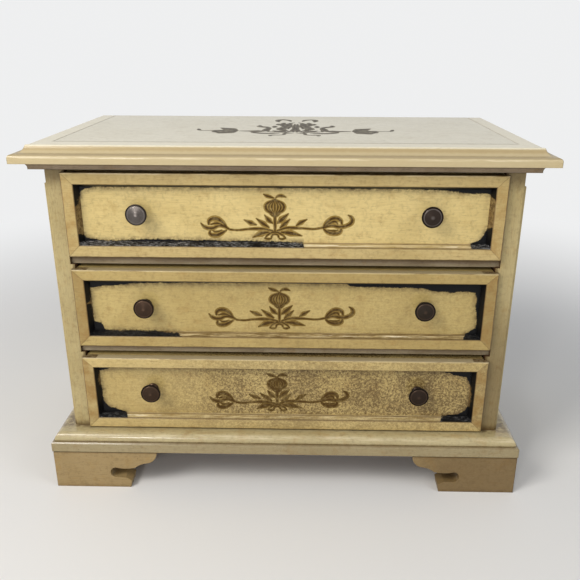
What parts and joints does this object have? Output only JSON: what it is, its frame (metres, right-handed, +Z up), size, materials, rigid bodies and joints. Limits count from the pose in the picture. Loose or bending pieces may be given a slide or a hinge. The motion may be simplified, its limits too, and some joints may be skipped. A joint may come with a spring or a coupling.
{
  "type": "musical jewelry box",
  "caption": "Chest-shaped musical jewelry box on bracket feet, with panelled drawers, a lift-up moulded lid with a mirror, a velvet tray and a key-wound music movement.",
  "frame": {"origin": "centre of the bounding box, on the surface the feet stand on", "axes": "+X to the box's right seen from the front, +Y to its back, +Z up; the drawers face -Y"},
  "size_m": [0.305, 0.1768, 0.2218],
  "materials": {
    "painted_wood": "antiqued satin paint",
    "stained_wood": "brown stain",
    "drawer_wood": "plain wood",
    "velvet": "red velvet",
    "felt": "felt",
    "mirror": "silvered glass",
    "brass": "plated, lightly worn",
    "knob_metal": "dark antiqued",
    "steel": "bright",
    "cast_metal": "cast, grey"
  },
  "bodies": {
    "case": {"case_side_left": "painted_wood", "case_side_right": "painted_wood", "case_bottom": "stained_wood", "upper_divider": "stained_wood", "lower_divider": "stained_wood", "back_panel": "stained_wood", "side_frame_left": "painted_wood", "side_frame_right": "painted_wood", "plinth_front": "painted_wood", "plinth_sides": "painted_wood", "front_foot_left": "painted_wood", "front_foot_right": "painted_wood", "back_foot_left": "painted_wood", "back_foot_right": "painted_wood", "tray_floor": "stained_wood", "tray_front_rail": "stained_wood", "tray_insert": "velvet", "ring_rolls": "velvet", "lid_bumpers": "felt", "hinge_case_leaves": "brass", "hinge_pins": "brass", "hinge_case_screws": "brass", "movement_plate": "cast_metal", "movement_screws": "steel", "comb": "steel"},
    "lid": {"lid_panel": "painted_wood", "lid_moulding_front": "painted_wood", "lid_moulding_sides": "painted_wood", "lid_bed_moulding": "painted_wood", "mirror_frame": "stained_wood", "mirror_glass": "mirror", "hinge_lid_leaves": "brass", "hinge_lid_screws": "brass"},
    "drawer_1": {"drawer_1_front": "painted_wood", "drawer_1_frame": "painted_wood", "drawer_1_sides": "drawer_wood", "drawer_1_back": "drawer_wood", "drawer_1_bottom": "drawer_wood", "drawer_1_lining": "velvet", "drawer_1_knobs": "knob_metal"},
    "drawer_2": {"drawer_2_front": "painted_wood", "drawer_2_frame": "painted_wood", "drawer_2_sides": "drawer_wood", "drawer_2_back": "drawer_wood", "drawer_2_bottom": "drawer_wood", "drawer_2_lining": "velvet", "drawer_2_knobs": "knob_metal"},
    "drawer_3": {"drawer_3_front": "painted_wood", "drawer_3_frame": "painted_wood", "drawer_3_sides": "drawer_wood", "drawer_3_back": "drawer_wood", "drawer_3_bottom": "drawer_wood", "drawer_3_lining": "velvet", "drawer_3_knobs": "knob_metal"},
    "spring_barrel": {"spring_barrel": "brass"},
    "winding_key": {"winding_key": "brass"},
    "pinned_cylinder": {"pinned_cylinder": "brass"},
    "governor_fly": {"governor_fly": "steel"},
    "stop_plunger": {"stop_plunger": "brass"}
  },
  "joints": [
    {"name": "lid_hinge", "type": "hinge", "parent": "case", "child": "lid", "pos_m": [0, 0.0729, 0.20775], "axis": [-1, 0, 0], "range_deg": [0, 100]},
    {"name": "drawer_1_slide", "type": "slide", "parent": "case", "child": "drawer_1", "axis": [0, -1, 0], "range_m": [0, 0.076]},
    {"name": "drawer_2_slide", "type": "slide", "parent": "case", "child": "drawer_2", "axis": [0, -1, 0], "range_m": [0, 0.1]},
    {"name": "drawer_3_slide", "type": "slide", "parent": "case", "child": "drawer_3", "axis": [0, -1, 0], "range_m": [0, 0.1]},
    {"name": "barrel_turn", "type": "hinge", "parent": "case", "child": "spring_barrel", "pos_m": [0.02, 0.0539, 0.1722], "axis": [0, 1, 0], "continuous": true},
    {"name": "cylinder_turn", "type": "hinge", "parent": "case", "child": "pinned_cylinder", "pos_m": [0.0354, 0.0508, 0.1722], "axis": [1, 0, 0], "continuous": true},
    {"name": "fly_spin", "type": "hinge", "parent": "case", "child": "governor_fly", "pos_m": [0.06498, 0.0508, 0.1722], "axis": [0, 0, 1], "continuous": true},
    {"name": "key_turn", "type": "hinge", "parent": "case", "child": "winding_key", "pos_m": [0.02, 0.0709, 0.1722], "axis": [0, 1, 0], "continuous": true},
    {"name": "stop_plunger_slide", "type": "slide", "parent": "case", "child": "stop_plunger", "axis": [0, 0, 1], "range_m": [0, 0.003]}
  ],
  "couplings": [
    {"joint": "cylinder_turn", "follows": "barrel_turn", "ratio": -4},
    {"joint": "fly_spin", "follows": "barrel_turn", "ratio": -10},
    {"joint": "stop_plunger_slide", "follows": "lid_hinge", "m_per_rad": 0.0017}
  ]
}
